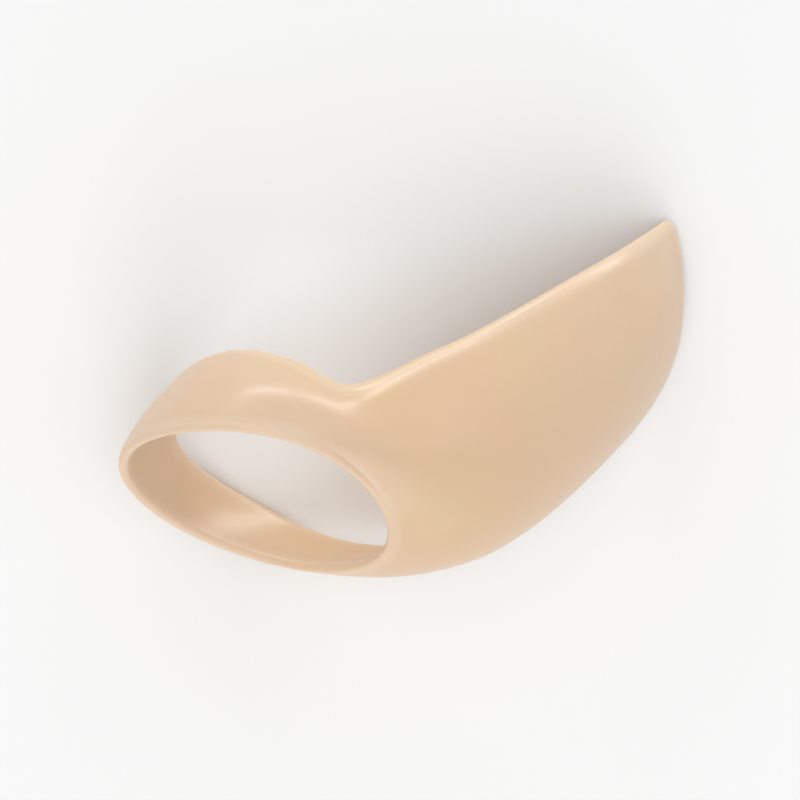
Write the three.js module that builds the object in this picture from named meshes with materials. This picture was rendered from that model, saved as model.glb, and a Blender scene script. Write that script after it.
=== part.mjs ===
// Bunion pad: one piece of soft moulded elastomer. An oval loop is slipped on, and its band widens to one
// side into a thin cupped wing with a pointed tip. Millimetres, +Z up. It lies by itself on a level surface,
// hollow side down, with the loop towards +X and the wing's tip towards -X.
// It is first shaped as it is worn, where +X is forward, +Y is the wing's side and +Z is the top.
import * as THREE from 'three';
import { ConvexHull } from 'three/addons/math/ConvexHull.js';

// Driving dimensions in millimetres
const loopWidth = 28; // opening of the loop, side to side
const loopHeight = 22.6; // opening of the loop, top to bottom
const bandWidth = 11.5; // band of the loop at its top, between the middles of its two round rims
const wingLength = 34.1; // how far the wing reaches back past the band
const rimSetback = 8.6; // middle of the front rim, behind the datum of the form
const rimSlant = 8.3; // how far the front rim leans forward and back of its middle
const frontWall = 1.4; // wall at the front rim
const edgeWall = 2; // wall in the middle of the band and at the rear rim
const tipWall = 1.3; // wall at the tip, which the rear rim thins down to
const padWall = 3.2; // wall in the middle of the wing

// Directions in degrees: 0 is the wing's side, 90 the top, 180 the far side, -90 underneath
const rimSlantTurn = -46; // where the front rim lies furthest back
const hollowSide = new THREE.Vector3(-0.4, -0.9, -0.2); // the side that the hollow opens to

// Grid of the moulded wall
const columns = 96;
const wallSteps = 12;
const rimSteps = 6;

// The form that the inner side follows: oval sections, one behind another. back is a share of the band and
// wing together, wide and side are shares of loopWidth, tall and rise are shares of loopHeight.
// These shares and most of the outline's values are not chosen by hand: they were fitted by least squares to
// the pad's visible outline, and then rounded.
const formLength = bandWidth + wingLength;
const sections = [
  { back: 0, wide: 1, tall: 1, side: 0, rise: 0 },
  { back: 0.27, wide: 0.955, tall: 1.13, side: -0.067, rise: 0.06 },
  { back: 0.62, wide: 1.11, tall: 1.415, side: 0.139, rise: 0.12 },
  { back: 1, wide: 1.235, tall: 1.56, side: 0.204, rise: 0.335 },
  { back: 1.34, wide: 1.205, tall: 1.7, side: 0.09, rise: 0.45 },
];

// The outline, once round the loop. front and rear are the directions of the two rims, and band and wing,
// shares of bandWidth and wingLength, add up to the distance from the front rim back to the rear rim.
const outline = [
  { round: 0, front: 180, rear: 180, band: 0.65, wing: 0 },
  { round: 0.1, front: 137, rear: 136.5, band: 1, wing: 0 },
  { round: 0.2, front: 96.5, rear: 97.5, band: 0.95, wing: 0 },
  { round: 0.27, front: 70.5, rear: 78, band: 0.77, wing: 0 },
  { round: 0.32, front: 51.5, rear: 50.5, band: 0.72, wing: 0 },
  { round: 0.38, front: 34.5, rear: 47, band: 0.8, wing: 0.19 },
  { round: 0.455, front: 21.5, rear: 40, band: 0.8, wing: 0.485 },
  { round: 0.54, front: 7.5, rear: 24.2, band: 0.8, wing: 0.968 },
  { round: 0.56, front: 3.5, rear: 22.4, band: 0.8, wing: 1 },
  { round: 0.58, front: -0.5, rear: 18, band: 0.8, wing: 0.992 },
  { round: 0.62, front: -8, rear: -2, band: 0.8, wing: 0.918 },
  { round: 0.66, front: -16.5, rear: -24, band: 0.8, wing: 0.815 },
  { round: 0.73, front: -32.5, rear: -49.5, band: 0.8, wing: 0.43 },
  { round: 0.79, front: -53, rear: -72, band: 0.8, wing: 0.1 },
  { round: 0.85, front: -82.5, rear: -93.5, band: 0.6, wing: 0 },
  { round: 0.925, front: -131.5, rear: -136, band: 0.58, wing: 0 },
];
const wingStart = [0.05, 0.38]; // stretch of the outline over which the wall thickens into the wing
const wingEnd = [0.73, 0.87]; // and over which it thins to the band again

// A smooth curve through one column of a table. The slope at a row is the mean of the slopes on its two
// sides, weighted by the opposite spans, and a cubic joins each row to the next.
function curveThrough(table, along, column) {
  const at = table.map((row) => row[along]);
  const value = table.map((row) => row[column]);
  const last = at.length - 1;
  const slope = (i) => (value[i + 1] - value[i]) / (at[i + 1] - at[i]);
  const tangent = at.map((_, i) => {
    if (i === 0) return slope(0);
    if (i === last) return slope(last - 1);
    const before = at[i] - at[i - 1];
    const after = at[i + 1] - at[i];
    return (slope(i - 1) * after + slope(i) * before) / (before + after);
  });
  return (place) => {
    let i = 0;
    while (i < last - 1 && place > at[i + 1]) i += 1;
    const span = at[i + 1] - at[i];
    const t = (place - at[i]) / span;
    const rise = t * t * (3 - 2 * t);
    const bend = tangent[i] * t * (1 - t) * (1 - t) + tangent[i + 1] * t * t * (t - 1);
    return value[i] * (1 - rise) + value[i + 1] * rise + span * bend;
  };
}

// The outline again before and after itself, so that its curves close smoothly
function closedTable(table) {
  const fullTurn = 360;
  const copy = (shift) => table.map((row) => ({
    ...row,
    round: row.round + shift,
    front: row.front - fullTurn * shift,
    rear: row.rear - fullTurn * shift,
  }));
  return [...copy(-1), ...table, ...copy(1)];
}

const sectionCurve = {};
for (const column of ['wide', 'tall', 'side', 'rise']) {
  sectionCurve[column] = curveThrough(sections, 'back', column);
}
const outlineCurve = {};
for (const column of ['front', 'rear', 'band', 'wing']) {
  outlineCurve[column] = curveThrough(closedTable(outline), 'round', column);
}

// A point of the form at a distance back and a direction round it
function formPoint(back, direction) {
  const share = THREE.MathUtils.clamp(back / formLength, sections[0].back, sections.at(-1).back);
  const angle = THREE.MathUtils.degToRad(direction);
  const halfWidth = (sectionCurve.wide(share) * loopWidth) / 2;
  const halfHeight = (sectionCurve.tall(share) * loopHeight) / 2;
  return new THREE.Vector3(
    -back,
    sectionCurve.side(share) * loopWidth + halfWidth * Math.cos(angle),
    sectionCurve.rise(share) * loopHeight + halfHeight * Math.sin(angle),
  );
}

function formNormal(back, direction) {
  const step = 0.01;
  const alongBack = formPoint(back + step, direction).sub(formPoint(back - step, direction));
  const around = formPoint(back, direction + step).sub(formPoint(back, direction - step));
  return alongBack.cross(around).normalize();
}

// Distance from the datum back to the front rim
function frontRimBack(direction) {
  return rimSetback + rimSlant * Math.cos(THREE.MathUtils.degToRad(direction - rimSlantTurn));
}

// Wall thickness: it swells from each rim to the middle, which is thickest in the wing
function wallAt(round, across) {
  const { lerp, smoothstep } = THREE.MathUtils;
  const inWing = smoothstep(round, ...wingStart) * (1 - smoothstep(round, ...wingEnd));
  const middle = lerp(edgeWall, padWall, inWing);
  const rearWall = lerp(edgeWall, tipWall, outlineCurve.wing(round) ** 4);
  const rim = across < 0.5 ? frontWall : rearWall;
  return lerp(rim, middle, Math.sin(Math.PI * across));
}

// One column of the wall: its points on the inner side from the front rim to the rear rim, with normals
function wallColumn(round) {
  const front = outlineCurve.front(round);
  const rear = outlineCurve.rear(round);
  const frontBack = frontRimBack(front);
  const rearBack = frontBack + outlineCurve.band(round) * bandWidth + outlineCurve.wing(round) * wingLength;
  return Array.from({ length: wallSteps + 1 }, (_, step) => {
    const across = step / wallSteps;
    const direction = THREE.MathUtils.lerp(front, rear, across);
    const back = THREE.MathUtils.lerp(frontBack, rearBack, across);
    const inner = formPoint(back, direction);
    const normal = formNormal(back, direction);
    const wall = wallAt(round, across);
    return { inner, normal, wall, outer: inner.clone().addScaledVector(normal, wall) };
  });
}

// Half-round rim of one column: points on a half circle from the outer side to the inner side, which
// bulges away from the sheet and square to the rim
function rimPoints(edge, inside, before, after) {
  const tangent = after.inner.clone().sub(before.inner);
  const outward = edge.normal.clone().cross(tangent).normalize();
  if (outward.dot(edge.inner.clone().sub(inside.inner)) < 0) outward.negate();
  const radius = edge.wall / 2;
  const middle = edge.inner.clone().addScaledVector(edge.normal, radius);
  return Array.from({ length: rimSteps - 1 }, (_, step) => {
    const angle = (Math.PI * (step + 1)) / rimSteps;
    return middle.clone()
      .addScaledVector(edge.normal, radius * Math.cos(angle))
      .addScaledVector(outward, radius * Math.sin(angle));
  });
}

// The whole wall: a closed ring of closed profiles
function padGeometry() {
  const wall = Array.from({ length: columns }, (_, j) => wallColumn(j / columns));
  const profiles = wall.map((column, j) => {
    const before = wall.at(j - 1);
    const after = wall[(j + 1) % columns];
    const rearRim = rimPoints(column.at(-1), column.at(-2), before.at(-1), after.at(-1));
    const frontRim = rimPoints(column[0], column[1], before[0], after[0]).reverse();
    const outer = column.map((point) => point.outer);
    const inner = column.map((point) => point.inner).reverse();
    return [...outer, ...rearRim, ...inner, ...frontRim];
  });
  const around = profiles[0].length;
  const indices = [];
  for (let j = 0; j < columns; j += 1) {
    for (let k = 0; k < around; k += 1) {
      const here = j * around + k;
      const next = j * around + ((k + 1) % around);
      const across = ((j + 1) % columns) * around + k;
      const opposite = ((j + 1) % columns) * around + ((k + 1) % around);
      indices.push(here, across, next, next, across, opposite);
    }
  }
  const geometry = new THREE.BufferGeometry().setFromPoints(profiles.flat());
  geometry.setIndex(indices);
  geometry.computeVertexNormals();
  return geometry;
}

function pointsOf(geometry) {
  const position = geometry.getAttribute('position');
  const pointAt = (_, i) => new THREE.Vector3().fromBufferAttribute(position, i);
  return Array.from({ length: position.count }, pointAt);
}

// Centre of mass: the mean of the tetrahedra between the origin and each face, weighted by their volumes
function centreOfMass(geometry) {
  const points = pointsOf(geometry);
  const index = geometry.getIndex();
  const centre = new THREE.Vector3();
  let total = 0;
  for (let i = 0; i < index.count; i += 3) {
    const [a, b, c] = [index.getX(i), index.getX(i + 1), index.getX(i + 2)].map((k) => points[k]);
    const volume = a.dot(b.clone().cross(c)) / 6;
    centre.addScaledVector(a.clone().add(b).add(c), volume / 4);
    total += volume;
  }
  return centre.divideScalar(total);
}

// Whether the centre of mass stands over a face of the hull, so that the piece rests on it
function restsOn(face, centre) {
  let edge = face.edge;
  for (let i = 0; i < 3; i += 1) {
    const start = edge.tail().point;
    const side = edge.head().point.clone().sub(start);
    if (side.cross(centre.clone().sub(start)).dot(face.normal) < 0) return false;
    edge = edge.next;
  }
  return true;
}

// Direction that faces down at rest: of the faces of its hull that it can rest on, the piece lies on the
// one that looks most to its hollow side
function restingSide(geometry) {
  const hull = new ConvexHull().setFromPoints(pointsOf(geometry));
  const centre = centreOfMass(geometry);
  const feet = hull.faces.filter((face) => restsOn(face, centre));
  feet.sort((a, b) => b.normal.dot(hollowSide) - a.normal.dot(hollowSide));
  return feet[0].normal.clone();
}

// Turn and place the piece at rest: tip to -X, middle of its box at x = y = 0, lowest point at z = 0
function layDown(mesh) {
  const down = new THREE.Vector3(0, 0, -1);
  mesh.quaternion.setFromUnitVectors(restingSide(mesh.geometry), down);
  const forward = new THREE.Vector3(1, 0, 0).applyQuaternion(mesh.quaternion);
  const yaw = new THREE.Quaternion().setFromAxisAngle(down, Math.atan2(forward.y, forward.x));
  mesh.quaternion.premultiply(yaw);
  mesh.updateMatrixWorld(true);
  const box = new THREE.Box3().setFromObject(mesh, true);
  const middle = box.getCenter(new THREE.Vector3());
  mesh.position.set(-middle.x, -middle.y, -box.min.z);
}

const elastomer = new THREE.MeshStandardMaterial({ color: 0xe0bf9e, roughness: 0.45, metalness: 0 });
const pad = new THREE.Mesh(padGeometry(), elastomer);
pad.name = 'bunion_pad';
layDown(pad);

const model = new THREE.Group();
model.add(pad);
export default model;
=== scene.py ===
import bpy
import numpy as np
from mathutils import Matrix, Vector


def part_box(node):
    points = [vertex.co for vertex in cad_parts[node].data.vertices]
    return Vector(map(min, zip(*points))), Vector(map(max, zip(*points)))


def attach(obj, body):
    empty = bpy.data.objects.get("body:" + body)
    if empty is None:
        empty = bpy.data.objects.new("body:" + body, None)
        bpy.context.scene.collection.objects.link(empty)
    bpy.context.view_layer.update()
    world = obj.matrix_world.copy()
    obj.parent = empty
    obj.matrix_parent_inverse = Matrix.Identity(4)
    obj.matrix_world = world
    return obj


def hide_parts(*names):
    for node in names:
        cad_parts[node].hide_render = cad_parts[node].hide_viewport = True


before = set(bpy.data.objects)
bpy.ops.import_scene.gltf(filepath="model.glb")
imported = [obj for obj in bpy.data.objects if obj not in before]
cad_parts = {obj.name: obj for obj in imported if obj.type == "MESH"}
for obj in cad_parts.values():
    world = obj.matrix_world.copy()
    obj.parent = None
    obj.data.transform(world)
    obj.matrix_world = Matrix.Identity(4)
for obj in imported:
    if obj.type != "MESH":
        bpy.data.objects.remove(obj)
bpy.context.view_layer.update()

# Bunion pad of soft moulded elastomer: an oval loop whose band widens into a thin cupped wing.
# Metres, +Z up. The pad lies hollow side down, the loop towards +X and the wing's tip towards -X.

mm = 0.001
nodeName = "bunion_pad"
nodeLow, nodeHigh = (np.array(corner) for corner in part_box(nodeName))

# The pad's own sizes, in millimetres and degrees, as it is worn: +X forward, +Y the wing's side, +Z the top
pad = {
    "loopWidth": 28.0,  # opening of the loop, side to side
    "loopHeight": 22.6,  # opening of the loop, top to bottom
    "bandWidth": 11.5,  # band at its top, between the middles of its two round rims
    "wingLength": 34.1,  # how far the wing reaches back past the band
    "rimSetback": 8.6,  # middle of the front rim, behind the datum of the form
    "rimSlant": 8.3,  # how far the front rim leans forward and back of its middle
    "rimSlantTurn": -46.0,  # where round the loop the front rim lies furthest back
    "frontWall": 1.4,  # wall at the front rim
    "edgeWall": 2.0,  # wall in the middle of the band and at the rear rim
    "tipWall": 1.3,  # wall at the tip, which the rear rim thins down to
    "padWall": 3.2,  # wall in the middle of the wing
    "frontShoulder": 1.6,  # how far the outer face rolls over at the front rim
    "rearShoulder": 2.4,  # and at the rear rim
    "tipShoulder": 1.4,  # and at the tip
    "wingStart": (0.05, 0.38),  # stretch of the outline over which the wall thickens into the wing
    "wingEnd": (0.73, 0.87),  # and over which it thins to the band again
    "tipNarrowness": 4,  # the higher, the closer to the tip its own wall and shoulder are reached
    "restUp": (0.6777, 0.6949, 0.2405),  # the worn direction that points up when the pad lies down
    "undulation": 0.05,  # unevenness of the moulded outer face
    # its slow waves: half turns round and where they start, half turns across and where they start, and
    # their share
    "waves": ((6, 1, 2, 0, 1.0), (14, 0, 3, 0.5, 0.6)),
    "columns": 384,  # grid lines round the loop
    "wallSteps": 60,  # grid lines from rim to rim
    "rimSteps": 20,  # grid lines round a rim
}

# Oval sections of the inner form, one behind another. back is a share of bandWidth and wingLength together,
# wide and side are shares of loopWidth, tall and rise are shares of loopHeight.
# These shares and most of the outline's values are not chosen by hand: they were fitted by least squares to
# the pad's visible outline, and then rounded.
sectionColumns = ("back", "wide", "tall", "side", "rise")
sectionRows = np.array([
    (0.00, 1.000, 1.000, 0.000, 0.000),
    (0.27, 0.955, 1.130, -0.067, 0.060),
    (0.62, 1.110, 1.415, 0.139, 0.120),
    (1.00, 1.235, 1.560, 0.204, 0.335),
    (1.34, 1.205, 1.700, 0.090, 0.450),
])

# The outline once round the loop. front and rear are the directions of the two rims (0 the wing's side,
# 90 the top), and band and wing are shares of bandWidth and wingLength that add up to the width from rim
# to rim.
outlineColumns = ("round", "front", "rear", "band", "wing")
outlineRows = np.array([
    (0.000, 180.0, 180.0, 0.65, 0.000),
    (0.100, 137.0, 136.5, 1.00, 0.000),
    (0.200, 96.5, 97.5, 0.95, 0.000),
    (0.270, 70.5, 78.0, 0.77, 0.000),
    (0.320, 51.5, 50.5, 0.72, 0.000),
    (0.380, 34.5, 47.0, 0.80, 0.190),
    (0.455, 21.5, 40.0, 0.80, 0.485),
    (0.540, 7.5, 24.2, 0.80, 0.968),
    (0.560, 3.5, 22.4, 0.80, 1.000),
    (0.580, -0.5, 18.0, 0.80, 0.992),
    (0.620, -8.0, -2.0, 0.80, 0.918),
    (0.660, -16.5, -24.0, 0.80, 0.815),
    (0.730, -32.5, -49.5, 0.80, 0.430),
    (0.790, -53.0, -72.0, 0.80, 0.100),
    (0.850, -82.5, -93.5, 0.60, 0.000),
    (0.925, -131.5, -136.0, 0.58, 0.000),
])


def curveThrough(at, value, place):
    # A cubic joins each row to the next; the slope at a row is the mean of the slopes on its two sides,
    # weighted by the opposite spans.
    span = np.diff(at)
    slope = np.diff(value) / span
    inner = (slope[:-1] * span[1:] + slope[1:] * span[:-1]) / (span[:-1] + span[1:])
    tangent = np.concatenate([slope[:1], inner, slope[-1:]])
    row = np.clip(np.searchsorted(at, place, side="right") - 1, 0, len(at) - 2)
    t = (place - at[row]) / span[row]
    rise = t * t * (3 - 2 * t)
    bend = tangent[row] * t * (1 - t) ** 2 + tangent[row + 1] * t * t * (t - 1)
    return value[row] * (1 - rise) + value[row + 1] * rise + span[row] * bend


def smoothStep(value, start, end):
    # 0 before start, 1 after end, and 3t^2 - 2t^3 between
    t = np.clip((value - start) / (end - start), 0, 1)
    return t * t * (3 - 2 * t)


def unit(vectors):
    return vectors / np.linalg.norm(vectors, axis=-1, keepdims=True)


def formPoint(back, direction):
    # A point of an oval: the section's middle plus half its width times the cosine of the direction to the
    # side, and half its height times the sine upwards
    share = np.clip(back / (pad["bandWidth"] + pad["wingLength"]), sectionRows[0, 0], sectionRows[-1, 0])
    section = {
        name: curveThrough(sectionRows[:, 0], sectionRows[:, i], share)
        for i, name in enumerate(sectionColumns) if i
    }
    angle = np.radians(direction)
    side = section["side"] * pad["loopWidth"] + section["wide"] * pad["loopWidth"] / 2 * np.cos(angle)
    top = section["rise"] * pad["loopHeight"] + section["tall"] * pad["loopHeight"] / 2 * np.sin(angle)
    return np.stack([-back, side, top], -1)


def formNormal(back, direction):
    # The cross product of a small step back and a small step round
    step = 0.01
    alongBack = formPoint(back + step, direction) - formPoint(back - step, direction)
    around = formPoint(back, direction + step) - formPoint(back, direction - step)
    return unit(np.cross(alongBack, around))


def outlineAt(place):
    # The outline's columns, read from the table with a copy of it before and after, so that it closes
    turn = np.array([1, -360, -360, 0, 0])
    closed = np.concatenate([outlineRows - turn, outlineRows, outlineRows + turn])
    return [curveThrough(closed[:, 0], closed[:, i], place) for i in range(1, len(outlineColumns))]


def mix(pair, share):
    return pair[0] * (1 - share) + pair[1] * share


def padColumns():
    # What each grid line from rim to rim needs, as columns of arrays
    place = np.arange(pad["columns"])[:, None] / pad["columns"]
    front, rear, band, wing = outlineAt(place)
    frontBack = pad["rimSetback"] + pad["rimSlant"] * np.cos(np.radians(front - pad["rimSlantTurn"]))
    rearBack = frontBack + band * pad["bandWidth"] + wing * pad["wingLength"]
    inWing = smoothStep(place, *pad["wingStart"]) * (1 - smoothStep(place, *pad["wingEnd"]))
    atTip = wing ** pad["tipNarrowness"]
    return {
        "place": place,
        "direction": (front, rear),
        "back": (frontBack, rearBack),
        "middleWall": mix((pad["edgeWall"], pad["padWall"]), inWing),
        "rimWall": (np.full_like(place, pad["frontWall"]), mix((pad["edgeWall"], pad["tipWall"]), atTip)),
        "shoulder": (pad["frontShoulder"], mix((pad["rearShoulder"], pad["tipShoulder"]), atTip)),
    }


def sheetAt(column, across):
    # The inner face at a share of the way from the front rim to the rear rim, and the way out of it
    back = mix(column["back"], across)
    direction = mix(column["direction"], across)
    return formPoint(back, direction), formNormal(back, direction)


def distanceTo(points, path):
    # Distance to a closed path of straight pieces: every point is dropped square onto every piece, the
    # place where it lands is held between the piece's ends, and the shortest drop counts
    piece = np.roll(path, -1, 0) - path
    length = (piece**2).sum(-1)
    along = points @ piece.T - (path * piece).sum(-1)
    landing = np.clip(along / length, 0, 1)
    toStart = (points**2).sum(-1)[..., None] - 2 * points @ path.T + (path**2).sum(-1)
    return np.sqrt(np.maximum((toStart - 2 * landing * along + landing**2 * length).min(-1), 0))


def rolledOff(wall, rimWall, shoulder, distance):
    # How much of the wall a rounded shoulder takes off near a rim: a quarter of an ellipse that rises from
    # the lip, half the rim's wall beyond the sheet's end, to the full wall a shoulder's width further in
    radius = rimWall / 2
    short = np.maximum(shoulder - radius - distance, 0) / shoulder
    return (wall - radius) * (1 - np.sqrt(1 - short**2))


def rimAround(edge, normal, inside, rimWall, shoulder):
    # The rim past the sheet's end, from the outer face to the inner face: the rest of the shoulder's
    # ellipse out to the lip, and a quarter of a circle under it
    outward = unit(np.cross(normal, np.roll(edge, -1, 0) - np.roll(edge, 1, 0)))
    outward *= np.sign(((edge - inside) * outward).sum(-1, keepdims=True))
    radius = rimWall / 2
    start = np.arcsin(1 - radius / shoulder)
    turn = start + (np.pi - start) * np.arange(1, pad["rimSteps"]) / pad["rimSteps"]
    reach = np.where(turn < np.pi / 2, radius - shoulder * (1 - np.sin(turn)), radius * np.sin(turn))
    lift = radius * (1 + np.cos(turn))
    return edge[:, None] + normal[:, None] * lift[..., None] + outward[:, None] * reach[..., None]


def padSurface():
    # A closed ring of closed profiles. Every profile runs over the outer face from the front rim to the
    # rear rim, round it, back over the inner face and round the front rim.
    column = padColumns()
    # Grid lines closer together near the rims, by a cosine
    across = (1 - np.cos(np.linspace(0, np.pi, pad["wallSteps"] + 1)[None])) / 2
    across = np.broadcast_to(across, (pad["columns"], across.size))
    inner, normal = sheetAt(column, across)
    fromFront, fromRear = (distanceTo(inner, inner[:, end]) for end in (0, -1))
    fromFront[:, 0] = fromRear[:, -1] = 0
    frontWall, rearWall = column["rimWall"]
    frontShoulder, rearShoulder = column["shoulder"]
    # The wall swells from both rims to the middle, by the sine of how far the way between them is done
    way = fromFront / (fromFront + fromRear)
    rimWall = np.where(way < 0.5, frontWall, rearWall)
    wall = mix((rimWall, column["middleWall"]), np.sin(np.pi * way))
    # Slow waves that fade out at the rims: products of sines round and across
    waves = sum(
        share * np.sin(turns * np.pi * column["place"] + start) * np.sin(crossings * np.pi * way + offset)
        for turns, start, crossings, offset, share in pad["waves"]
    )
    lift = wall + pad["undulation"] * waves * np.sin(np.pi * way) ** 2
    lift = lift - rolledOff(wall, frontWall, frontShoulder, fromFront)
    lift = lift - rolledOff(wall, rearWall, rearShoulder, fromRear)
    outer = inner + normal * lift[..., None]
    rearRim = rimAround(inner[:, -1], normal[:, -1], inner[:, -2], rearWall, rearShoulder)
    frontRim = rimAround(inner[:, 0], normal[:, 0], inner[:, 1], frontWall, frontShoulder)
    points = np.concatenate([outer, rearRim, inner[:, ::-1], frontRim[:, ::-1]], 1)
    # How far every point is from the nearer rim, in millimetres, and how far towards the tip, as a share
    nearer = np.minimum(fromFront, fromRear)
    atRim = np.zeros((pad["columns"], pad["rimSteps"] - 1))
    rimDistance = np.concatenate([nearer, atRim, nearer[:, ::-1], atRim], 1)
    across = np.concatenate([across, atRim + 1, across[:, ::-1], atRim], 1)
    back = mix(column["back"], across) - pad["rimSetback"]
    return points, rimDistance, np.clip(back / (pad["bandWidth"] + pad["wingLength"]), 0, 1)


def restTurn():
    # Rows of the turn from worn to lying: the forward direction laid level, its left, and up
    up = unit(np.array(pad["restUp"]))
    forward = np.array([1.0, 0.0, 0.0])
    level = unit(forward - (forward @ up) * up)
    return np.stack([level, np.cross(up, level), up])


def gridMesh(name, points):
    # A mesh of quads over a grid that closes in both directions
    rows, columns = points.shape[:2]
    index = np.arange(rows * columns).reshape(rows, columns)
    right = np.roll(index, -1, 1)
    faces = np.stack([index, np.roll(index, -1, 0), np.roll(right, -1, 0), right], -1).reshape(-1, 4)
    mesh = bpy.data.meshes.new(name)
    mesh.vertices.add(points.size // 3)
    mesh.vertices.foreach_set("co", points.astype(np.float32).ravel())
    mesh.loops.add(faces.size)
    mesh.loops.foreach_set("vertex_index", faces.astype(np.int32).ravel())
    mesh.polygons.add(len(faces))
    mesh.polygons.foreach_set("loop_start", np.arange(0, faces.size, 4, dtype=np.int32))
    mesh.update(calc_edges=True)
    mesh.shade_smooth()
    mesh.validate()
    return mesh


def setAttribute(mesh, name, values):
    layer = mesh.attributes.new(name, "FLOAT", "POINT")
    layer.data.foreach_set("value", values.astype(np.float32).ravel())


finish = {
    # how far towards the tip the loop, the wing's body and the tip itself lie, and their linear colours;
    # the paler, bluer loop colour is painted sheen and the paler, bluer tip colour is painted reflected
    # light
    "tonesAndPaintedLight": (
        (0.00, (0.622, 0.466, 0.318)),
        (0.22, (0.636, 0.450, 0.270)),
        (1.00, (0.630, 0.492, 0.346)),
    ),
    "rosy": (0.655, 0.446, 0.304),
    "rosyShare": 0.6,  # most of the rosy colour in a mottle
    "rosyFrom": 0.35,  # mottle noise at which the rosy colour starts
    "rosyFull": 0.65,  # and at which it is fully there
    # the paler rim colour is painted light along the thin edges
    "rim": (0.725, 0.595, 0.460),
    "paintedRimLightShare": 0.3,  # how much of the paler colour, painted rim light, the very edge has
    "paintedRimLightFade": 1.0,  # millimetres over which the painted rim light fades out
    "roughness": 0.30,
    "roughnessSpread": 0.04,  # how far the mottle takes the roughness up and down
    "refraction": 1.52,
    "translucency": 0.25,
    "scatter": 0.0016,  # metres that light spreads under the surface
    "scatterShares": (1.0, 0.55, 0.35),  # shares of it that red, green and blue light spread
    "mottleSize": 90.0,  # mottles per metre
    "mottleDetail": 3,
    "mottleRoughness": 0.45,
    "grainSize": 2600.0,  # grains per metre
    "grainDetail": 2,
    "grainDepth": 0.000012,  # metres
    "grainStrength": 0.35,
}


def addNode(tree, kind, values):
    # A shader node with some of its inputs set by name
    node = tree.nodes.new(kind)
    for name, value in values.items():
        node.inputs[name].default_value = value
    return node


def attributeNode(tree, name):
    node = tree.nodes.new("ShaderNodeAttribute")
    node.attribute_name = name
    return node


def colourMix(tree, share, under, over):
    # One colour laid over another, by a share that another node gives
    node = tree.nodes.new("ShaderNodeMix")
    node.data_type = "RGBA"
    node.inputs["B"].default_value = (*over, 1)
    tree.links.new(share, node.inputs["Factor"])
    tree.links.new(under, node.inputs["A"])
    return node.outputs["Result"]


def padToneAndPaintedLight(tree):
    # The colour from the loop, through the body of the wing, to the tip: painted sheen on the paler loop,
    # the pad's own colour on the body and painted reflected light on the paler tip
    toTip = attributeNode(tree, "tipward")
    tone = tree.nodes.new("ShaderNodeValToRGB")
    stops = tone.color_ramp.elements
    for middle in finish["tonesAndPaintedLight"][1:-1]:
        stops.new(middle[0])
    for stop, (place, colour) in zip(stops, finish["tonesAndPaintedLight"]):
        stop.position = place
        stop.color = (*colour, 1)
    tree.links.new(toTip.outputs["Fac"], tone.inputs["Fac"])
    return tone.outputs["Color"]


def padColour(tree, mottle):
    # The tone with rosy mottles over it, and the paler rims, painted light along the thin edges, over both
    rosy = addNode(tree, "ShaderNodeMapRange", {
        "From Min": finish["rosyFrom"],
        "From Max": finish["rosyFull"],
        "To Max": finish["rosyShare"],
    })
    tree.links.new(mottle, rosy.inputs["Value"])
    # the tone holds painted sheen on the loop and painted reflected light at the tip
    mottled = colourMix(tree, rosy.outputs["Result"], padToneAndPaintedLight(tree), finish["rosy"])
    # painted light along the rims: the paler colour near the edges
    fade = addNode(tree, "ShaderNodeMapRange", {
        "From Min": 0,
        "From Max": finish["paintedRimLightFade"],
        "To Min": finish["paintedRimLightShare"],
        "To Max": 0,
    })
    fade.interpolation_type = "SMOOTHSTEP"
    tree.links.new(attributeNode(tree, "rimDistance").outputs["Fac"], fade.inputs["Value"])
    return colourMix(tree, fade.outputs["Result"], mottled, finish["rim"])


def elastomer():
    # Satin elastomer: a slow rosy mottle, painted sheen on the loop, painted reflected light at the tip,
    # paler thin rims that are painted light, and a fine matt grain
    material = bpy.data.materials.new("satinElastomer")
    material.use_nodes = True
    tree = material.node_tree
    links = tree.links
    shader = tree.nodes["Principled BSDF"]
    surface = tree.nodes.new("ShaderNodeTexCoord")
    mottle = addNode(tree, "ShaderNodeTexNoise", {
        "Scale": finish["mottleSize"],
        "Detail": finish["mottleDetail"],
        "Roughness": finish["mottleRoughness"],
    })
    links.new(surface.outputs["Object"], mottle.inputs["Vector"])
    links.new(padColour(tree, mottle.outputs["Fac"]), shader.inputs["Base Color"])
    gloss = addNode(tree, "ShaderNodeMapRange", {
        "To Min": finish["roughness"] - finish["roughnessSpread"],
        "To Max": finish["roughness"] + finish["roughnessSpread"],
    })
    links.new(mottle.outputs["Fac"], gloss.inputs["Value"])
    links.new(gloss.outputs["Result"], shader.inputs["Roughness"])
    grain = addNode(tree, "ShaderNodeTexNoise", {
        "Scale": finish["grainSize"],
        "Detail": finish["grainDetail"],
    })
    links.new(surface.outputs["Object"], grain.inputs["Vector"])
    bump = addNode(tree, "ShaderNodeBump", {
        "Strength": finish["grainStrength"],
        "Distance": finish["grainDepth"],
    })
    links.new(grain.outputs["Fac"], bump.inputs["Height"])
    links.new(bump.outputs["Normal"], shader.inputs["Normal"])
    shader.inputs["Subsurface Weight"].default_value = finish["translucency"]
    shader.inputs["Subsurface Radius"].default_value = finish["scatterShares"]
    shader.inputs["Subsurface Scale"].default_value = finish["scatter"]
    shader.inputs["IOR"].default_value = finish["refraction"]
    return material


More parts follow.
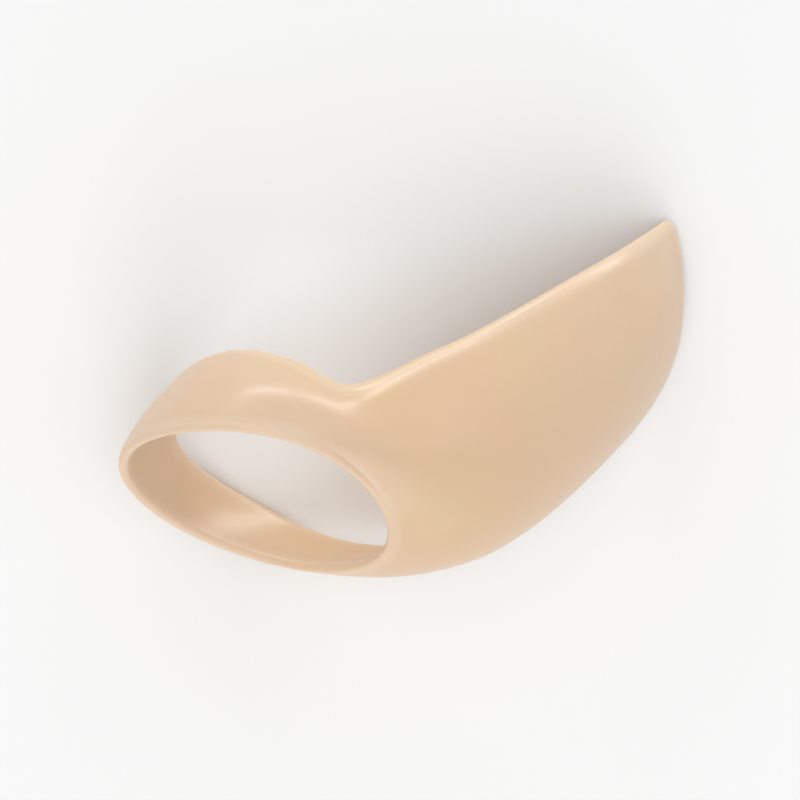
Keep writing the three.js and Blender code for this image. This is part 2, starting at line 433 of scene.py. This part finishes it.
def makePad():
    points, rimDistance, tipward = padSurface()
    lying = points.reshape(-1, 3) @ restTurn().T * mm
    low, high = lying.min(0), lying.max(0)
    seat = np.array([*(nodeLow + nodeHigh)[:2] / 2, nodeLow[2]])
    lying += seat - np.array([*(low + high)[:2] / 2, low[2]])
    mesh = gridMesh("moulded_pad", lying.reshape(points.shape))
    setAttribute(mesh, "rimDistance", rimDistance)
    setAttribute(mesh, "tipward", tipward)
    mesh.materials.append(elastomer())
    piece = bpy.data.objects.new("moulded_pad", mesh)
    bpy.context.scene.collection.objects.link(piece)
    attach(piece, "root")
    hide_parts(nodeName)
    print("pad made,", len(mesh.polygons), "quads, size in mm", (high - low) / mm)
    return piece


makePad()

stage = {
    "floorSize": 3.0,
    "floorColour": (0.83, 0.83, 0.83),
    "floorRoughness": 0.9,
    "worldLight": 0.80,
    # name, place, width and height in metres, watts
    "lamps": (
        ("keySoftbox", (-0.10, -0.55, 0.07), (0.30, 0.08), 0.75),
        ("edgeSoftbox", (-0.42, -0.38, 0.06), (0.30, 0.08), 0.75),
        ("fillSoftbox", (0.30, 0.50, 0.45), (0.60, 0.60), 1.7),
        ("topSoftbox", (0.00, 0.00, 0.95), (0.80, 0.80), 1.4),
    ),
}


def makeStage():
    half = stage["floorSize"] / 2
    corners = [(-half, -half, 0), (half, -half, 0), (half, half, 0), (-half, half, 0)]
    mesh = bpy.data.meshes.new("floor")
    mesh.from_pydata(corners, [], [(0, 1, 2, 3)])
    paper = bpy.data.materials.new("palePaper")
    paper.use_nodes = True
    shader = paper.node_tree.nodes["Principled BSDF"]
    shader.inputs["Base Color"].default_value = (*stage["floorColour"], 1)
    shader.inputs["Roughness"].default_value = stage["floorRoughness"]
    mesh.materials.append(paper)
    floor = bpy.data.objects.new("floor", mesh)
    bpy.context.scene.collection.objects.link(floor)
    world = bpy.data.worlds.new("softRoom")
    world.use_nodes = True
    sky = world.node_tree.nodes["Background"]
    sky.inputs["Color"].default_value = (1, 1, 1, 1)
    sky.inputs["Strength"].default_value = stage["worldLight"]
    bpy.context.scene.world = world
    for name, place, size, watts in stage["lamps"]:
        lamp = bpy.data.lights.new(name, "AREA")
        lamp.shape = "RECTANGLE"
        lamp.size, lamp.size_y = size
        lamp.energy = watts
        holder = bpy.data.objects.new(name, lamp)
        holder.location = place
        holder.rotation_euler = Vector(place).to_track_quat("Z", "Y").to_euler()
        bpy.context.scene.collection.objects.link(holder)
    print("stage made")


camera = {
    "aim": (0.00164, -0.00381, 0.00955),  # point in the middle of the picture, metres
    "azimuth": -13.6,  # degrees; 0 looks along +Y
    "elevation": 74.6,
    "roll": -173.0,
    "distance": 0.621,
    "nearest": 0.01,  # what is nearer than this isn't seen, metres
    "lens": 250.0,  # millimetres
    "sensor": 36,
}


def makeCamera():
    azimuth, elevation, roll = (np.radians(camera[name]) for name in ("azimuth", "elevation", "roll"))
    level = np.cos(elevation)
    back = Vector((np.sin(azimuth) * level, -np.cos(azimuth) * level, np.sin(elevation)))
    upright = (Vector((0, 0, 1)) - back * back.z).normalized()
    up = upright * np.cos(roll) + upright.cross(back) * np.sin(roll)
    turn = Matrix((up.cross(back), up, back)).transposed()
    data = bpy.data.cameras.new("camera")
    data.lens = camera["lens"]
    data.sensor_width = camera["sensor"]
    data.clip_start = camera["nearest"]
    holder = bpy.data.objects.new("camera", data)
    place = Vector(camera["aim"]) + back * camera["distance"]
    holder.matrix_world = Matrix.Translation(place) @ turn.to_4x4()
    bpy.context.scene.collection.objects.link(holder)
    bpy.context.scene.camera = holder
    bpy.context.scene.view_settings.view_transform = "Standard"
    print("camera made")


makeStage()
makeCamera()
